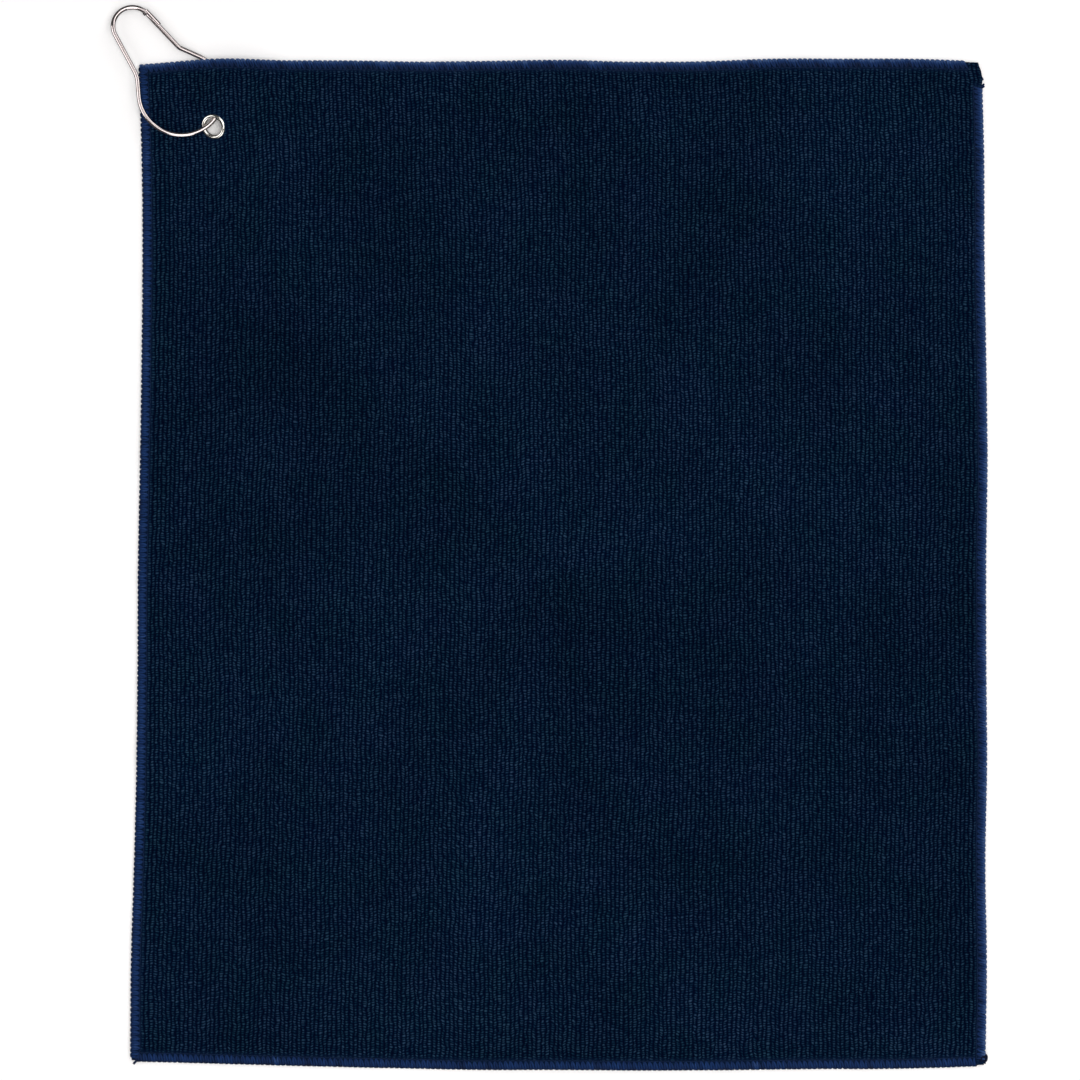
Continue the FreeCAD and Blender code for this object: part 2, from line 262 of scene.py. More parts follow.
class Nodes:
    """Short ways to build a material's nodes."""

    def __init__(self, name):
        self.material = bpy.data.materials.new(name)
        self.material.use_nodes = True
        self.tree = self.material.node_tree
        self.tree.nodes.clear()
        self.shader = self.add("ShaderNodeBsdfPrincipled")
        out = self.add("ShaderNodeOutputMaterial")
        self.tree.links.new(self.shader.outputs["BSDF"], out.inputs["Surface"])

    def add(self, kind, **settings):
        node = self.tree.nodes.new(kind)
        for key, value in settings.items():
            setattr(node, key, value)
        return node

    def put(self, value, socket):
        if isinstance(value, bpy.types.NodeSocket):
            self.tree.links.new(value, socket)
        elif value is not None:
            socket.default_value = value

    def math(self, operation, *values):
        node = self.add("ShaderNodeMath", operation=operation)
        for i, value in enumerate(values):
            self.put(value, node.inputs[i])
        return node.outputs[0]

    def times(self, a, b):
        return self.math("MULTIPLY", a, b)

    def plus(self, a, b):
        return self.math("ADD", a, b)

    def vector(self, x, y, z=0.0):
        node = self.add("ShaderNodeCombineXYZ")
        for i, value in enumerate((x, y, z)):
            self.put(value, node.inputs[i])
        return node.outputs[0]

    def weave(self):
        """The UV map named weave, whole and split in two."""
        uv = self.add("ShaderNodeUVMap", uv_map="weave").outputs["UV"]
        split = self.add("ShaderNodeSeparateXYZ")
        self.put(uv, split.inputs[0])
        return uv, split.outputs[0], split.outputs[1]

    def place_in_object(self):
        return self.add("ShaderNodeTexCoord").outputs["Object"]

    def attribute(self, name):
        return self.add("ShaderNodeAttribute", attribute_name=name).outputs["Fac"]

    def noise(self, at, scale, detail=2.0, roughness=0.5):
        node = self.add("ShaderNodeTexNoise")
        self.put(at, node.inputs["Vector"])
        node.inputs["Scale"].default_value = scale
        node.inputs["Detail"].default_value = detail
        node.inputs["Roughness"].default_value = roughness
        return node.outputs["Fac"]

    def random(self, at):
        node = self.add("ShaderNodeTexWhiteNoise", noise_dimensions="3D")
        self.put(at, node.inputs["Vector"])
        return node.outputs["Value"]

    def spread(self, value, low, high, to_low, to_high):
        node = self.add("ShaderNodeMapRange")
        for i, v in enumerate((value, low, high, to_low, to_high)):
            self.put(v, node.inputs[i])
        return node.outputs[0]

    def wave(self, value):
        """0 at whole numbers and 1 half-way between them."""
        turned = self.math("COSINE", self.times(value, 2 * math.pi))
        return self.math("MULTIPLY_ADD", turned, -0.5, 0.5)

    def ramp(self, value, *stops):
        node = self.add("ShaderNodeValToRGB")
        self.put(value, node.inputs["Fac"])
        ramp = node.color_ramp
        ramp.elements[0].position, ramp.elements[0].color = stops[0][0], (*linear(stops[0][1]), 1)
        ramp.elements[1].position, ramp.elements[1].color = stops[-1][0], (*linear(stops[-1][1]), 1)
        for position, colour in stops[1:-1]:
            ramp.elements.new(position).color = (*linear(colour), 1)
        return node.outputs["Color"]

    def mix(self, factor, a, b, blend="MIX"):
        node = self.add("ShaderNodeMix", data_type="RGBA", blend_type=blend)
        self.put(factor, node.inputs["Factor"])
        for value, socket in ((a, node.inputs[6]), (b, node.inputs[7])):
            self.put((*linear(value), 1) if isinstance(value, tuple) else value, socket)
        return node.outputs[2]

    def bump(self, height, distance, strength):
        node = self.add("ShaderNodeBump")
        node.inputs["Distance"].default_value = distance * MM
        node.inputs["Strength"].default_value = strength
        self.put(height, node.inputs["Height"])
        return node.outputs["Normal"]

    def finish(self, **sockets):
        for name, value in sockets.items():
            self.put(value, self.shader.inputs[name.replace("_", " ")])
        return self.material


# ---------------------------------------------------------------- materials

# From the cloth's valleys to the tops of its loops: the cloth's navy, with painted shade in the valleys and
# painted light on the loop tops.
CLOTH_PAINTED_RELIEF = [(0.0, (0, 4, 26)), (0.3, (0, 16, 38)), (0.7, (16, 38, 60)), (1.0, (41, 58, 81))]
# Painted shade on the cloth pinched along the stitching, and at half strength round the grommet: its colour
# and how much of it.
SEAM_PAINTED_SHADE, PINCH_SHADE_SHARE = (8, 23, 48), 0.75

# Wide patches of the cloth where it is greener or darker: noise scale, the noise values where a patch starts
# and is full, how strong it is, and the colour that it multiplies.
CLOTH_PATCHES = [
    (46.0, 0.35, 0.65, 0.7, (208, 255, 238)),
    (19.0, 0.35, 0.65, 0.8, (218, 230, 230)),
    (7.5, 0.3, 0.7, 0.55, (196, 208, 212)),
]

# What a stitch's tone of -1 and of 1 turns the thread into. The tone carries painted light and shade as well
# as random differences between stitches.
THREAD_SHADED, THREAD_PALE_AND_LIT = (5, 12, 32), (66, 90, 132)

TARNISH = (0.93, 0.91, 0.88)


def cloth_material():
    """Looped microfibre ribs: one unit of U is a rib, one unit of V a loop along it."""
    m = Nodes("ribbed_microfibre")
    uv, u, v = m.weave()

    # The ribs drift and wander sideways.
    drift = m.noise(m.vector(m.times(u, 0.45), m.times(v, 0.16)), 1.0, 2.0)
    u = m.plus(u, m.spread(drift, 0.25, 0.75, -0.26, 0.26))
    wander = m.noise(m.vector(m.times(u, 0.9), m.times(v, 0.55), 5.0), 1.0, 1.0)
    u = m.plus(u, m.spread(wander, 0.25, 0.75, -0.15, 0.15))
    rib = m.wave(u)
    rib_number = m.math("FLOOR", u)

    # The loops of each rib start at their own place, lean their own way and jostle along it.
    shift = m.random(m.vector(rib_number, 3.7))
    lean = m.random(m.vector(rib_number, 9.1))
    jostle = m.noise(m.vector(rib_number, m.times(v, 0.31), 7.0), 1.0, 2.0)
    along = m.plus(m.plus(v, m.times(shift, 0.7)), m.times(jostle, 2.2))
    across = m.math("SUBTRACT", m.math("SUBTRACT", u, rib_number), 0.5)
    along = m.plus(along, m.times(across, m.spread(lean, 0.0, 1.0, -0.8, 0.8)))
    loop = m.wave(along)
    each = m.random(m.vector(rib_number, m.math("FLOOR", along), 1.3))
    patch = m.noise(m.vector(m.times(u, 0.35), m.times(v, 0.17), 2.0), 1.0, 3.0, 0.6)
    bead = m.times(m.math("POWER", rib, 0.6), loop)
    height = m.math("MULTIPLY_ADD", bead, 0.8, m.times(rib, 0.2))

    # Painted light and shade: the colour ramp darkens the valleys and lightens the tops of ribs and loops,
    # each loop and patch with a random tone.
    relief_light_and_tone = m.times(height, m.spread(each, 0.0, 1.0, 0.75, 1.35))
    relief_light_and_tone = m.times(relief_light_and_tone, m.spread(patch, 0.3, 0.7, 0.92, 1.08))
    colour = m.ramp(relief_light_and_tone, *CLOTH_PAINTED_RELIEF)
    at = m.place_in_object()
    for scale, starts, full, share, tint in CLOTH_PATCHES:
        amount = m.spread(m.noise(at, scale, 2.0), starts, full, 0.0, share)
        colour = m.mix(amount, colour, m.mix(1.0, colour, tint, "MULTIPLY"))
    # Painted shade where the stitching and the grommet pinch the cloth.
    colour = m.mix(m.times(m.attribute("seam"), PINCH_SHADE_SHARE), colour, SEAM_PAINTED_SHADE)
    fuzz = m.noise(uv, 3.1, 4.0, 0.7)
    return m.finish(
        Base_Color=colour,
        Roughness=m.spread(fuzz, 0.3, 0.7, 0.82, 1.0),
        Normal=m.bump(m.math("MULTIPLY_ADD", fuzz, 0.25, height), 0.30, 0.7),
        Specular_IOR_Level=0.015,
        Sheen_Weight=0.02,
        Sheen_Roughness=0.45,
        Sheen_Tint=(*linear((90, 140, 215)), 1),
    )


def thread_material(name, dark, middle, light):
    """Loose-spun polyester: U runs along the thread in millimetres, V once round it."""
    m = Nodes(name)
    _, u, v = m.weave()
    twist = m.wave(m.plus(m.times(u, 1.35), m.times(v, 3.0)))
    hairs = m.noise(m.vector(m.times(u, 2.4), m.times(v, 9.0)), 1.0, 3.0, 0.65)
    uneven = m.noise(m.vector(m.times(u, 0.23), 4.0), 1.0, 2.0)
    value = m.plus(m.times(twist, 0.35), m.times(hairs, 0.65))
    value = m.plus(value, m.spread(uneven, 0.3, 0.7, -0.14, 0.14))
    colour = m.ramp(value, (0.15, dark), (0.5, middle), (0.9, light))
    # The tone attribute holds painted light and shade and random tone differences.
    tone = m.attribute("tone")
    colour = m.mix(m.spread(tone, 0.0, -1.0, 0.0, 1.0), colour, THREAD_SHADED)
    colour = m.mix(m.spread(tone, 0.0, 1.0, 0.0, 1.0), colour, THREAD_PALE_AND_LIT)
    return m.finish(
        Base_Color=colour,
        Roughness=m.spread(hairs, 0.3, 0.7, 0.55, 0.8),
        Normal=m.bump(m.math("MULTIPLY_ADD", twist, 0.5, hairs), 0.10, 0.6),
        Specular_IOR_Level=0.08,
        Sheen_Weight=0.03,
        Sheen_Roughness=0.4,
        Sheen_Tint=(*linear((120, 160, 230)), 1),
    )


def nickel(name, base, roughness, scratch_scale):
    """Nickel plate over steel, with fine scratches, handling marks and a faint warm tarnish."""
    m = Nodes(name)
    at = m.place_in_object()
    cloud = m.noise(at, 160.0, 4.0, 0.6)
    fine = m.noise(at, scratch_scale, 3.0, 0.7)
    tarnished = tuple(c * k for c, k in zip(base, TARNISH))
    worn = m.plus(cloud, m.times(fine, 0.5))
    return m.finish(
        Base_Color=m.mix(m.spread(cloud, 0.35, 0.75, 0.0, 0.5), base, tarnished),
        Metallic=1.0,
        Roughness=m.spread(worn, 0.4, 1.1, roughness, roughness + 0.06),
        Normal=m.bump(fine, 0.02, 0.15),
    )


CLOTH = cloth_material()
LOOPER = thread_material("overlock_thread", (3, 22, 58), (15, 42, 86), (29, 60, 109))
NEEDLE = thread_material("needle_thread", (3, 12, 34), (9, 26, 54), (20, 42, 76))
GROMMET_METAL = nickel("grommet_nickel", (226, 225, 219), 0.10, 2600.0)
WIRE_METAL = nickel("wire_nickel", (214, 204, 204), 0.09, 3400.0)


# ---------------------------------------------------------------- the cloth

# The rows of points by an edge, from the edge inwards.
EDGE_ROWS = [0.35, 0.8, 1.5, 2.4, 3.4, 4.4, 5.8, 8.5]
COLUMNS_PER_RIB = len(RIB_PROFILE)

# Where the stitching and the grommet stop pinching the cloth, and over what distance it swells again.
STITCHED_TO, STITCHED_FADE = 3.5, 2.2
CLAMPED_TO, CLAMPED_FADE = 5.7, 2.3

# Past the stitching's end, points by the edge count as this much further in.
UNSTITCHED = 8
UNSTITCHED_FROM, UNSTITCHED_RUN = 0.6, 1.5

# The cut edge is rounded: its share of the cloth's thickness, and what that gains over what distance.
RIM_SHARE, RIM_GAIN, RIM_RUN = 0.55, 0.45, 1.2

LOWEST = 0.02  # the cloth's underside above the table
UNDERSIDE_WEAVE = (37.0, 11.0)  # shifts the pattern of ribs and loops there
HOLE_RADIUS, HOLE_SIDES, PUNCH_REACH = 4.6, 48, 9.0


def rows_up_the_cloth():
    """Finer by the edges and over the lifted corner."""
    middle = list(np.linspace(20.0, LENGTH - 78.0, 27))
    corner = list(np.linspace(LENGTH - 74.0, LENGTH - EDGE_ROWS[-1], 20))
    high = [LENGTH - r for r in reversed(EDGE_ROWS[:-1])]
    return np.array(EDGE_ROWS + middle + corner + high)


def columns_across_the_cloth():
    """Four to a rib, starting and ending in the stitching."""
    phase = np.arange(RIBS * COLUMNS_PER_RIB + 1) / COLUMNS_PER_RIB
    across = phase * RIB_PITCH
    across[0], across[-1] = EDGE_ROWS[0], WIDTH - EDGE_ROWS[0]
    return phase, across


def cloth_faces(rows, columns):
    """Quads of the upper side, the lower side and the rim between them."""
    grid = np.arange(rows * columns).reshape(rows, columns)
    top = np.stack([grid[:-1, :-1], grid[:-1, 1:], grid[1:, 1:], grid[1:, :-1]], -1).reshape(-1, 4)
    under = top[:, ::-1] + rows * columns
    loop = np.concatenate([grid[0, :-1], grid[:-1, -1], grid[-1, :0:-1], grid[:0:-1, 0]])
    after = np.roll(loop, -1)
    rim = np.stack([loop, loop + rows * columns, after + rows * columns, after], -1)
    return np.concatenate([top, under, rim])


def past_stitching(side, along):
    """How much further in a point counts where the stitching of its edge has stopped."""
    return UNSTITCHED * smooth((along - EXTENT[side][1] + UNSTITCHED_FROM) / UNSTITCHED_RUN)


def make_cloth():
    rows = rows_up_the_cloth()
    phase, across = columns_across_the_cloth()
    a, b = np.meshgrid(across, rows)
    x, y, z = place(a, b)
    in_from_edge = np.minimum(np.minimum(a, WIDTH - a), np.minimum(b, LENGTH - b))
    in_from_right = WIDTH - a + past_stitching("right", b)
    in_from_top = LENGTH - b + past_stitching("top", a)
    in_from_stitched = np.minimum(np.minimum(a, in_from_right), np.minimum(b, in_from_top))
    stitched = 1 - smooth((in_from_stitched - STITCHED_TO) / STITCHED_FADE)
    clamped = 1 - smooth((from_grommet(x, y, z) - CLAMPED_TO) / CLAMPED_FADE)
    pinch = np.maximum(stitched, clamped)
    half = HALF_THICK * (1 - pinch) + PINCHED * pinch
    half = half * (RIM_SHARE + RIM_GAIN * smooth(in_from_edge / RIM_RUN))
    profile = RIB_PROFILE[(np.arange(len(phase)) % COLUMNS_PER_RIB)][None, :]
    uneven = 0.86 + 0.14 * np.sin(b / 3.7 + np.floor(phase)[None, :] * 2.399)
    valley = RIB_DEPTH * (1 - profile * uneven) * (1 - pinch)
    upper = np.stack([x, y, z + half - valley], -1).reshape(-1, 3)
    under = np.stack([x, y, np.maximum(z - half + valley, LOWEST)], -1).reshape(-1, 3)
    piece = new_mesh("towel_sheet", np.concatenate([upper, under]), cloth_faces(len(rows), len(phase)))
    weave = np.stack([np.broadcast_to(phase, a.shape), b / LOOP_PITCH], -1).reshape(-1, 2)
    set_uv(piece, np.concatenate([weave, weave + UNDERSIDE_WEAVE]))
    # The seam value sets the painted shade: full along the stitching, half as strong in the grommet's clamp.
    shade = (pinch * (1 - 0.5 * clamped)).ravel()
    set_value(piece, "seam", np.concatenate([shade, shade]))
    cut_grommet_hole(piece)
    piece.data.materials.clear()
    piece.data.materials.append(CLOTH)
    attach(piece, "towel")
    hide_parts("towel_cloth")
    return piece


def cut_grommet_hole(piece):
    """A round hole through the cloth, under the grommet's flange."""
    turn = Vector(GROMMET_AXIS).to_track_quat("Z", "Y")
    middle = Vector(GROMMET)
    n = HOLE_SIDES
    angles = np.linspace(0, 2 * math.pi, n, endpoint=False)
    ring = [(HOLE_RADIUS * math.cos(t), HOLE_RADIUS * math.sin(t)) for t in angles]
    points = [turn @ Vector((px, py, pz)) + middle for pz in (-PUNCH_REACH, PUNCH_REACH) for px, py in ring]
    sides = [[i, (i + 1) % n, n + (i + 1) % n, n + i] for i in range(n)]
    ends = [list(range(n))[::-1], list(range(n, 2 * n))]
    punch = new_mesh("punch", points, sides + ends, False)
    cut = piece.modifiers.new("hole", "BOOLEAN")
    cut.operation, cut.solver, cut.object = "DIFFERENCE", "EXACT", punch
    depsgraph = bpy.context.evaluated_depsgraph_get()
    piece.data = bpy.data.meshes.new_from_object(piece.evaluated_get(depsgraph))
    piece.modifiers.clear()
    bpy.data.objects.remove(punch)


# ---------------------------------------------------------------- the overlock stitching

# The length of a stitch, how far in the needle goes, and the looper threads: their size, their number of
# sides, and how much their needle holes, depths, lie and thickness vary.
STITCH = 2.3
NEEDLE_DEPTH = 3.7
THREAD_WIDTH, THREAD_THICK = 1.12, 0.46
LOOPER_SIDES = 8
HOLE_SCATTER, DEPTH_SCATTER = 0.07, 0.13
LAY_SCATTER, BULGE_SCATTER = 0.008, 0.06

STRAIGHT_FROM = 0.4  # this near to the cut edge, a thread stops following the cloth and goes straight out
THREAD_LOWEST = 0.16  # the middle of a thread above the table

# The needle thread lies this much inside the looper's turns, and is highest and widest between the holes.
NEEDLE_INSIDE, NEEDLE_SCATTER = 0.22, 0.03
NEEDLE_HEIGHT, NEEDLE_RISE = 0.30, 0.36
NEEDLE_WIDTH, NEEDLE_SWELL = 0.30, 0.14
NEEDLE_THICK, NEEDLE_THICKEN = 0.26, 0.08
NEEDLE_DIP = np.array([0.0, 0.75, 1.0, 0.75])

# One looper stitch: share of the way to the next needle hole, share of the needle's depth, height, width,
# thickness, how far round the cloth's rim the thread is, and how much painted shade it gets where it goes
# down into the needle hole.
STITCH_SHAPE = np.array([
    (0.00, 1.00, 0.34, 0.42, 0.80, 0.00, 0.90),
    (0.08, 0.93, 0.52, 0.60, 0.95, 0.00, 0.60),
    (0.18, 0.74, 0.64, 0.84, 1.00, 0.00, 0.25),
    (0.25, 0.45, 0.66, 1.02, 1.00, 0.05, 0.00),
    (0.25, 0.17, 0.56, 1.02, 1.00, 0.45, 0.00),
    (0.34, -0.01, 0.26, 0.98, 0.95, 0.85, 0.00),
    (0.50, -0.05, 0.04, 0.95, 0.90, 1.00, 0.00),
    (0.66, -0.01, 0.26, 0.98, 0.95, 0.85, 0.00),
    (0.75, 0.17, 0.56, 1.02, 1.00, 0.45, 0.00),
    (0.75, 0.45, 0.66, 1.02, 1.00, 0.05, 0.00),
    (0.82, 0.74, 0.64, 0.84, 1.00, 0.00, 0.25),
    (0.92, 0.93, 0.52, 0.60, 0.95, 0.00, 0.60),
])
SHAPE_LOWEST = [-1, -1, 0, 0, 0, 0, 0]

# How far along the edge a thread leans on its way from the rim to the needle holes, in stitches, and how far
# the lower looper's stitches are shifted along it from the upper looper's.
SLANT = {"left": 0.12, "right": -0.45, "bottom": 0.4, "top": -0.6}
BACK_OFFSET = {"left": 0.0, "right": 0.12, "bottom": 0.2, "top": 0.0}

# How the stitching is toned where it turns over the rim, and along the rest: darker below 0, paler above.
# The rim values are painted light and shade: pale on the top and right edges as though lit from the upper
# right, dark on the left and bottom.
RIM_PAINTED_LIGHT = {"left": -0.85, "right": 0.75, "bottom": -0.8, "top": 0.85}
CREST_TONE = {"left": -0.02, "right": -0.3, "bottom": -0.2, "top": -0.45}
# Painted shade where a looper thread goes down into a needle hole.
NEEDLE_HOLE_SHADE = -0.35

# How much the stitches of an edge differ in tone, and the painted light on each thread's crown and the
# painted shade down its sides.
STITCH_SPREAD = {"left": 0.09, "right": 0.12, "bottom": 0.12, "top": 0.13}
CROWN_PAINTED_LIGHT, SIDE_PAINTED_SHADE = 0.12, -0.55

# The loose ends of the overlock's chain by the corners: where each is counted from, its tone, and the points
# of its strands with their widths.
LOOSE_ENDS = {
    "top_right": ((-LEFT, -BOTTOM, 0.0), -0.6, [
        ([(-1.6, -4.0, 1.0), (0.4, -6.4, 1.1), (1.7, -8.4, 0.7)], 0.7),
        ([(-0.9, -1.6, 0.9), (0.3, -4.2, 0.8), (0.9, -7.6, 0.6)], 0.6),
        ([(-0.8, -12.6, 1.0), (1.0, -11.2, 1.1), (2.1, -9.9, 0.6)], 0.9),
        ([(-0.2, -12.8, 0.7), (1.4, -11.6, 0.8), (2.3, -11.0, 0.5)], 0.8),
    ]),
    "bottom_right": ((-LEFT + 2.0, BOTTOM + 4.6, 0.0), -0.95, [
        ([(-1.4, 3.6, 1.0), (0.9, 2.0, 1.3), (0.8, -0.8, 0.9)], 1.2),
        ([(-2.4, 2.2, 1.0), (-0.2, 1.6, 1.7), (1.4, 0.4, 0.9)], 1.2),
        ([(-3.0, 0.9, 0.9), (-0.8, 0.7, 1.5), (0.6, -1.7, 0.7)], 1.1),
        ([(-0.8, 3.0, 1.4), (-1.4, 0.2, 1.6), (-1.0, -1.6, 0.7)], 1.1),
        ([(-2.8, 0.2, 0.8), (-1.6, -0.9, 1.1), (0.2, -1.3, 0.7)], 1.0),
    ]),
    "bottom_left": ((LEFT - 2.3, BOTTOM + 3.6, 0.0), -0.6, [
        ([(1.6, 1.6, 0.8), (0.5, 0.4, 0.9), (-0.6, -0.7, 0.5)], 0.6),
        ([(2.1, 1.2, 0.7), (0.9, 0.2, 0.8), (-0.2, -1.1, 0.6)], 0.5),
    ]),
}


def tube(path, widths, thicks, ups, sides=6):
    """Points, faces and uv of a flattened tube along a path, open at its ends."""
    path, ups = np.asarray(path), np.asarray(ups)
    along = np.gradient(path, axis=0)
    along /= np.linalg.norm(along, axis=1)[:, None]
    side = np.cross(ups, along)
    side /= np.linalg.norm(side, axis=1)[:, None]
    up = np.cross(along, side)
    turn = np.arange(sides) / sides * 2 * math.pi
    ring = side[:, None] * (np.cos(turn)[None, :, None] * np.asarray(widths)[:, None, None] / 2)
    ring = ring + up[:, None] * (np.sin(turn)[None, :, None] * np.asarray(thicks)[:, None, None] / 2)
    points = (path[:, None] + ring).reshape(-1, 3)
    n = len(path)
    i = np.arange(n - 1)[:, None] * sides
    k = np.arange(sides)[None, :]
    after = (k + 1) % sides
    faces = np.stack([i + k, i + after, i + sides + after, i + sides + k], -1).reshape(-1, 4)
    length = np.concatenate([[0], np.cumsum(np.linalg.norm(np.diff(path, axis=0), axis=1))])
    uv = np.stack(np.broadcast_arrays(length[:, None], (np.abs(k / sides - 0.5) * 2)), -1).reshape(-1, 2)
    return points, faces, uv


def edge_point(side, s, d):
    """Flat coordinates of a point s along an edge and d inside it."""
    if side == "left":
        return d, s
    if side == "right":
        return WIDTH - d, s
    if side == "bottom":
        return s, d
    return s, LENGTH - d


def on_edge(side, s, d, height):
    """A point of the stitching, outside the cloth where d is negative. Height is above its middle."""
    inside = np.maximum(d, STRAIGHT_FROM)
    a, b = edge_point(side, s, inside)
    x, y, z = place(np.clip(a, 0, WIDTH), np.clip(b, 0, LENGTH))
    out = inside - d
    x = x + OUTWARD[side][0] * out
    y = y + OUTWARD[side][1] * out
    return np.stack([x, y, np.maximum(z + height, THREAD_LOWEST)], -1)


def finer(shape):
    """The same closed round of stitch rows with a smooth one halfway to each next row."""
    onward = np.eye(1, shape.shape[1])
    before = np.vstack([shape[-1:] - onward, shape[:-1]])
    after = np.vstack([shape[1:], shape[:1] + onward])
    beyond = np.vstack([shape[2:], shape[:2] + onward])
    between = (9 * (shape + after) - before - beyond) / 16
    return np.stack([shape, between], 1).reshape(-1, shape.shape[1])


def make_looper(side, front):
    """One looper thread: out from each needle hole, round the cloth's edge, and back to the next hole."""
    rng = np.random.default_rng(EDGES.index(side) * 2 + front)
    start, end = EXTENT[side]
    count = int((end - start) / STITCH)
    pitch = (end - start) / count
    hole = start + (np.arange(count + 1)) * pitch + rng.normal(0, HOLE_SCATTER, count + 1)
    deep = NEEDLE_DEPTH + rng.normal(0, DEPTH_SCATTER, count + 1)
    sign = 1 if front else -1
    shape = np.clip(finer(STITCH_SHAPE), SHAPE_LOWEST, 1)
    i = np.repeat(np.arange(count), len(shape))
    onward, inward, high, wide, thick, rounding, hole_shade = np.tile(shape, (count, 1)).T
    behind = 0.0 if front else BACK_OFFSET[side]
    s = hole[i] + (onward + behind + SLANT[side] * (1 - inward)) * (hole[i + 1] - hole[i])
    d = deep[i] * inward * (1 + rng.normal(0, LAY_SCATTER, len(i)))
    bulge = 1 + rng.normal(0, BULGE_SCATTER, count)[i]
    path = on_edge(side, s, d, sign * high * HALF_THICK * bulge)
    turned = rounding[:, None] ** 2
    up = np.array([0, 0, sign])[None, :] * (1 - turned) + np.array(OUTWARD[side])[None, :] * turned
    points, faces, uv = tube(path, THREAD_WIDTH * wide * bulge, THREAD_THICK * thick, up, LOOPER_SIDES)
    points[:, 2] = np.maximum(points[:, 2], 0.0)
    kind = "front" if front else "back"
    piece = new_mesh(f"looper_thread_{kind}_{side}", points, faces)
    set_uv(piece, uv)
    # Painted light and shade over the rim: pale on the top and right edges, dark on the left and bottom.
    near_rim = rounding ** (0.6 if RIM_PAINTED_LIGHT[side] > 0 else 1.0)
    # The last term paints shade where the thread goes down into each needle hole.
    tone = near_rim * RIM_PAINTED_LIGHT[side] + (1 - near_rim) * CREST_TONE[side] + NEEDLE_HOLE_SHADE * hole_shade
    tone = tone + rng.normal(0, STITCH_SPREAD[side], count)[i]
    # Painted light on the crown of each thread and painted shade down its sides.
    painted_roundness = CROWN_PAINTED_LIGHT + SIDE_PAINTED_SHADE * np.cos(np.arange(LOOPER_SIDES) / LOOPER_SIDES * 2 * math.pi) ** 4
    set_value(piece, "tone", (tone[:, None] + painted_roundness * (0.25 + 0.75 * inward[:, None])).ravel())
    piece.data.materials.append(LOOPER)
    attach(piece, "towel")
    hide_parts(f"overlock_{kind}_{side}")
    return piece


def make_needle_thread(side):
    """Short straight stitches from hole to hole along the inner edge of the band."""
    rng = np.random.default_rng(40 + EDGES.index(side))
    start, end = EXTENT[side]
    count = int((end - start) / STITCH)
    steps = np.arange(count * 4 + 1) / 4
    dip = NEEDLE_DIP[(np.arange(len(steps)) % 4)]
    s = start + steps * (end - start) / count
    d = NEEDLE_DEPTH + NEEDLE_INSIDE + rng.normal(0, NEEDLE_SCATTER, len(s))
    path = on_edge(side, s, d, NEEDLE_HEIGHT + NEEDLE_RISE * dip)
    widths, thicks = NEEDLE_WIDTH + NEEDLE_SWELL * dip, NEEDLE_THICK + NEEDLE_THICKEN * dip
    points, faces, uv = tube(path, widths, thicks, np.broadcast_to([0, 0, 1.0], path.shape))
    piece = new_mesh(f"needle_thread_{side}", points, faces)
    set_uv(piece, uv)
    piece.data.materials.append(NEEDLE)
    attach(piece, "towel")
    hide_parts(f"needle_seam_{side}")
    return piece


def make_loose_end(corner):
    """The cut end of an overlock chain: a few loose strands."""
    origin, tone, strands = LOOSE_ENDS[corner]
    all_points, all_faces, all_uv, start = [], [], [], 0
    for strand, width in strands:
        knots = np.array(strand) + origin
        t = np.linspace(0, 1, 5 * len(knots))
        path = np.stack([through(knots[:, k], t) for k in range(3)], -1)
        taper = np.sqrt(np.clip(np.minimum(t, 1 - t) * 9, 0.02, 1))
        ups = np.broadcast_to([0, 0.01, 1.0], path.shape)
        points, faces, uv = tube(path, width * taper, width * taper * 0.9, ups)
        all_points.append(points)
        all_faces.append(faces + start)
        all_uv.append(uv)
        start += len(points)
    piece = new_mesh(f"loose_end_{corner}", np.concatenate(all_points), np.concatenate(all_faces))
    set_uv(piece, np.concatenate(all_uv))
    set_value(piece, "tone", np.full(start, tone))
    piece.data.materials.append(LOOPER)
    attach(piece, "towel")
    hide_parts(f"thread_tail_{corner}")


# ---------------------------------------------------------------- metal

# The length of the gate's wire, from its root, that bends as it opens, and how many short lengths the mesh
# has there.
GATE_BEND = 15.0
GATE_CUTS = 20
GATE_SIDES = 40
PIVOT_GAP = 0.03
TIP_FACE = 0.4  # the CAD points this near the gate's far end make up its end face

# The gate's rounded-off tip: how far from its end, and how much narrower.
GATE_TIP = np.array([(0.16, 0.0), (0.14, 0.01), (0.06, 0.10), (0.01, 0.26), (0.0, 0.30)])


def dress_node(node, material):
    piece = frame["nodes"][node]
    piece.data.materials.clear()
    piece.data.materials.append(material)


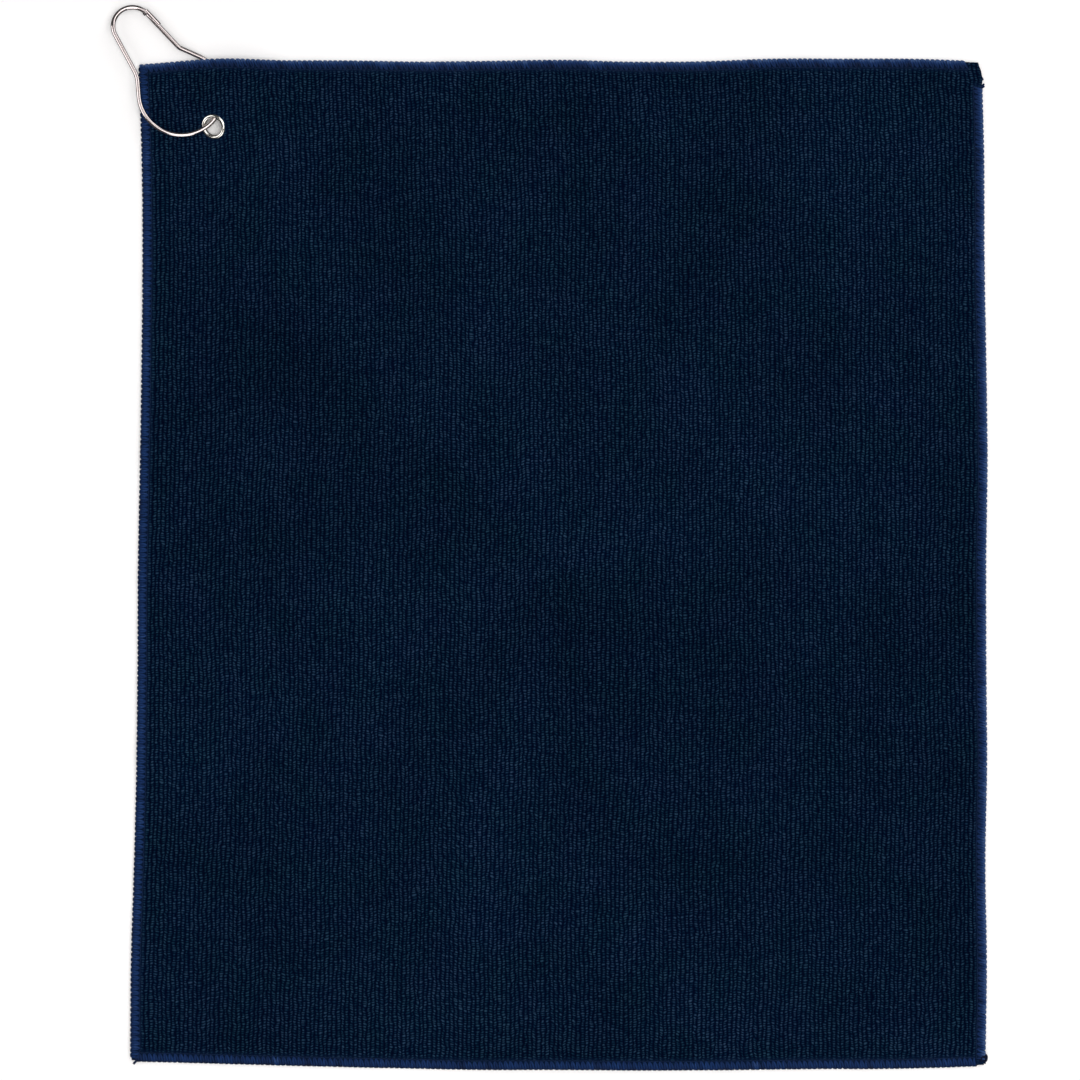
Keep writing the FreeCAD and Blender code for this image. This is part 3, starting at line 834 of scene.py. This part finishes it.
def make_gate():
    """The spring gate: a straight run of wire from its root by the neck to its tip in the catch.

    It starts flush with the end of the frame's wire, and has many short lengths where it bends.
    """
    root = np.array(next(j for j in frame["joints"] if j["name"] == "gate_flex")["pos_m"]) / MM
    rod = cad_points("clip_gate_wire")
    farthest = rod[np.argmax(np.linalg.norm(rod - root, axis=1))]
    heading = (farthest - root) / np.linalg.norm(farthest - root)
    reach = (rod - root) @ heading
    end = rod[reach > reach.max() - TIP_FACE].mean(0)
    straight = np.linalg.norm(end - root)
    along = (end - root) / straight
    radius = np.linalg.norm(rod - root, axis=1).min()
    bend = np.linspace(0.0, GATE_BEND, GATE_CUTS + 1)
    steps = np.concatenate([[-radius - PIVOT_GAP, -radius], bend, straight - GATE_TIP[:, 0]])
    widths = np.full(len(steps), 2 * radius)
    widths[-len(GATE_TIP):] -= GATE_TIP[:, 1]
    path = root + steps[:, None] * along
    points, faces, _ = tube(path, widths, widths, np.broadcast_to([0, 0, 1.0], path.shape), GATE_SIDES)
    piece = new_mesh("spring_gate", points, faces)
    mesh = bmesh.new()
    mesh.from_mesh(piece.data)
    for cap in bmesh.ops.holes_fill(mesh, edges=[e for e in mesh.edges if e.is_boundary])["faces"]:
        cap.smooth = False
    bmesh.ops.recalc_face_normals(mesh, faces=mesh.faces[:])
    mesh.to_mesh(piece.data)
    mesh.free()
    piece.data.materials.append(WIRE_METAL)
    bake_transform(piece)
    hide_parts("clip_gate_wire")


# ---------------------------------------------------------------- stage

FLOOR_SIDE, FLOOR_HEIGHT = 6000.0, -0.02
LAMP_COLOUR = (1.0, 0.982, 0.978)
SKY_COLOUR, SKY_STRENGTH = (0.97, 0.98, 1.0, 1), 0.07

# Each lamp's place, what it is aimed at, its size, its power in watts, and whether it shows in the metal.
LAMPS = {
    "overhead_panel": ((500, -200, 1900), (500, -200, 0), (2000, 2000), 28.5, True),
    "softbox_right": ((1100, 1150, 900), (-190, 240, 0), (1900, 1300), 14.5, True),
    "softbox_left": ((-1500, 180, 800), (-190, 200, 0), (1000, 1200), 9.0, True),
    "softbox_front": ((-50, -1500, 850), (-190, 100, 0), (1300, 1300), 11.0, True),
    "ceiling": ((-100, -200, 2100), (-100, -200, 0), (1600, 1600), 5.0, False),
}

# The camera looks straight down: the width that it takes in at the table, its middle, and its lens.
VIEW_WIDTH = 489.8
VIEW_MIDDLE = (-8.8, 11.8)
LENS, SENSOR = 120.0, 36.0


def make_stage():
    """A white paper floor that the metal doesn't reflect."""
    m = Nodes("paper_floor")
    grain = m.noise(m.place_in_object(), 900.0, 2.0)
    paper = m.finish(
        Base_Color=m.mix(grain, (249, 249, 249), (251, 251, 251)),
        Roughness=0.9,
        Specular_IOR_Level=0.1,
    )
    half = FLOOR_SIDE / 2
    corners = [(-half, -half), (half, -half), (half, half), (-half, half)]
    floor = new_mesh("floor", [(x, y, FLOOR_HEIGHT) for x, y in corners], [[0, 1, 2, 3]], False)
    floor.data.materials.append(paper)
    floor.visible_glossy = False


def make_lamp(name, place_mm, aim_mm, size_mm, power, in_gloss):
    lamp = bpy.data.lights.new(name, "AREA")
    lamp.shape = "RECTANGLE"
    lamp.size, lamp.size_y = (s * MM for s in size_mm)
    lamp.energy = power
    lamp.color = LAMP_COLOUR
    obj = bpy.data.objects.new(name, lamp)
    obj.location = Vector(place_mm) * MM
    obj.rotation_euler = (Vector(aim_mm) * MM - obj.location).to_track_quat("-Z", "Y").to_euler()
    obj.visible_glossy = in_gloss
    bpy.context.scene.collection.objects.link(obj)


def make_lights():
    for name, settings in LAMPS.items():
        make_lamp(name, *settings)
    world = bpy.data.worlds.new("studio")
    world.use_nodes = True
    sky = world.node_tree.nodes["Background"]
    sky.inputs["Color"].default_value = SKY_COLOUR
    sky.inputs["Strength"].default_value = SKY_STRENGTH
    bpy.context.scene.world = world


def make_camera():
    lens = bpy.data.cameras.new("camera")
    lens.lens, lens.sensor_width = LENS, SENSOR
    lens.clip_start, lens.clip_end = 0.05, 20.0
    camera = bpy.data.objects.new("camera", lens)
    camera.location = Vector((*VIEW_MIDDLE, VIEW_WIDTH * LENS / SENSOR)) * MM
    camera.rotation_euler = (0, 0, 0)
    bpy.context.scene.collection.objects.link(camera)
    bpy.context.scene.camera = camera
    bpy.context.scene.view_settings.view_transform = "Standard"


# ---------------------------------------------------------------- everything

sheet = make_cloth()
stitching = []
for edge in EDGES:
    stitching += [make_looper(edge, True), make_looper(edge, False), make_needle_thread(edge)]
for corner in LOOSE_ENDS:
    make_loose_end(corner)
dress_node("grommet_eyelet", GROMMET_METAL)
dress_node("grommet_washer", GROMMET_METAL)
dress_node("clip_frame_wire", WIRE_METAL)
make_gate()
make_stage()
make_lights()
make_camera()
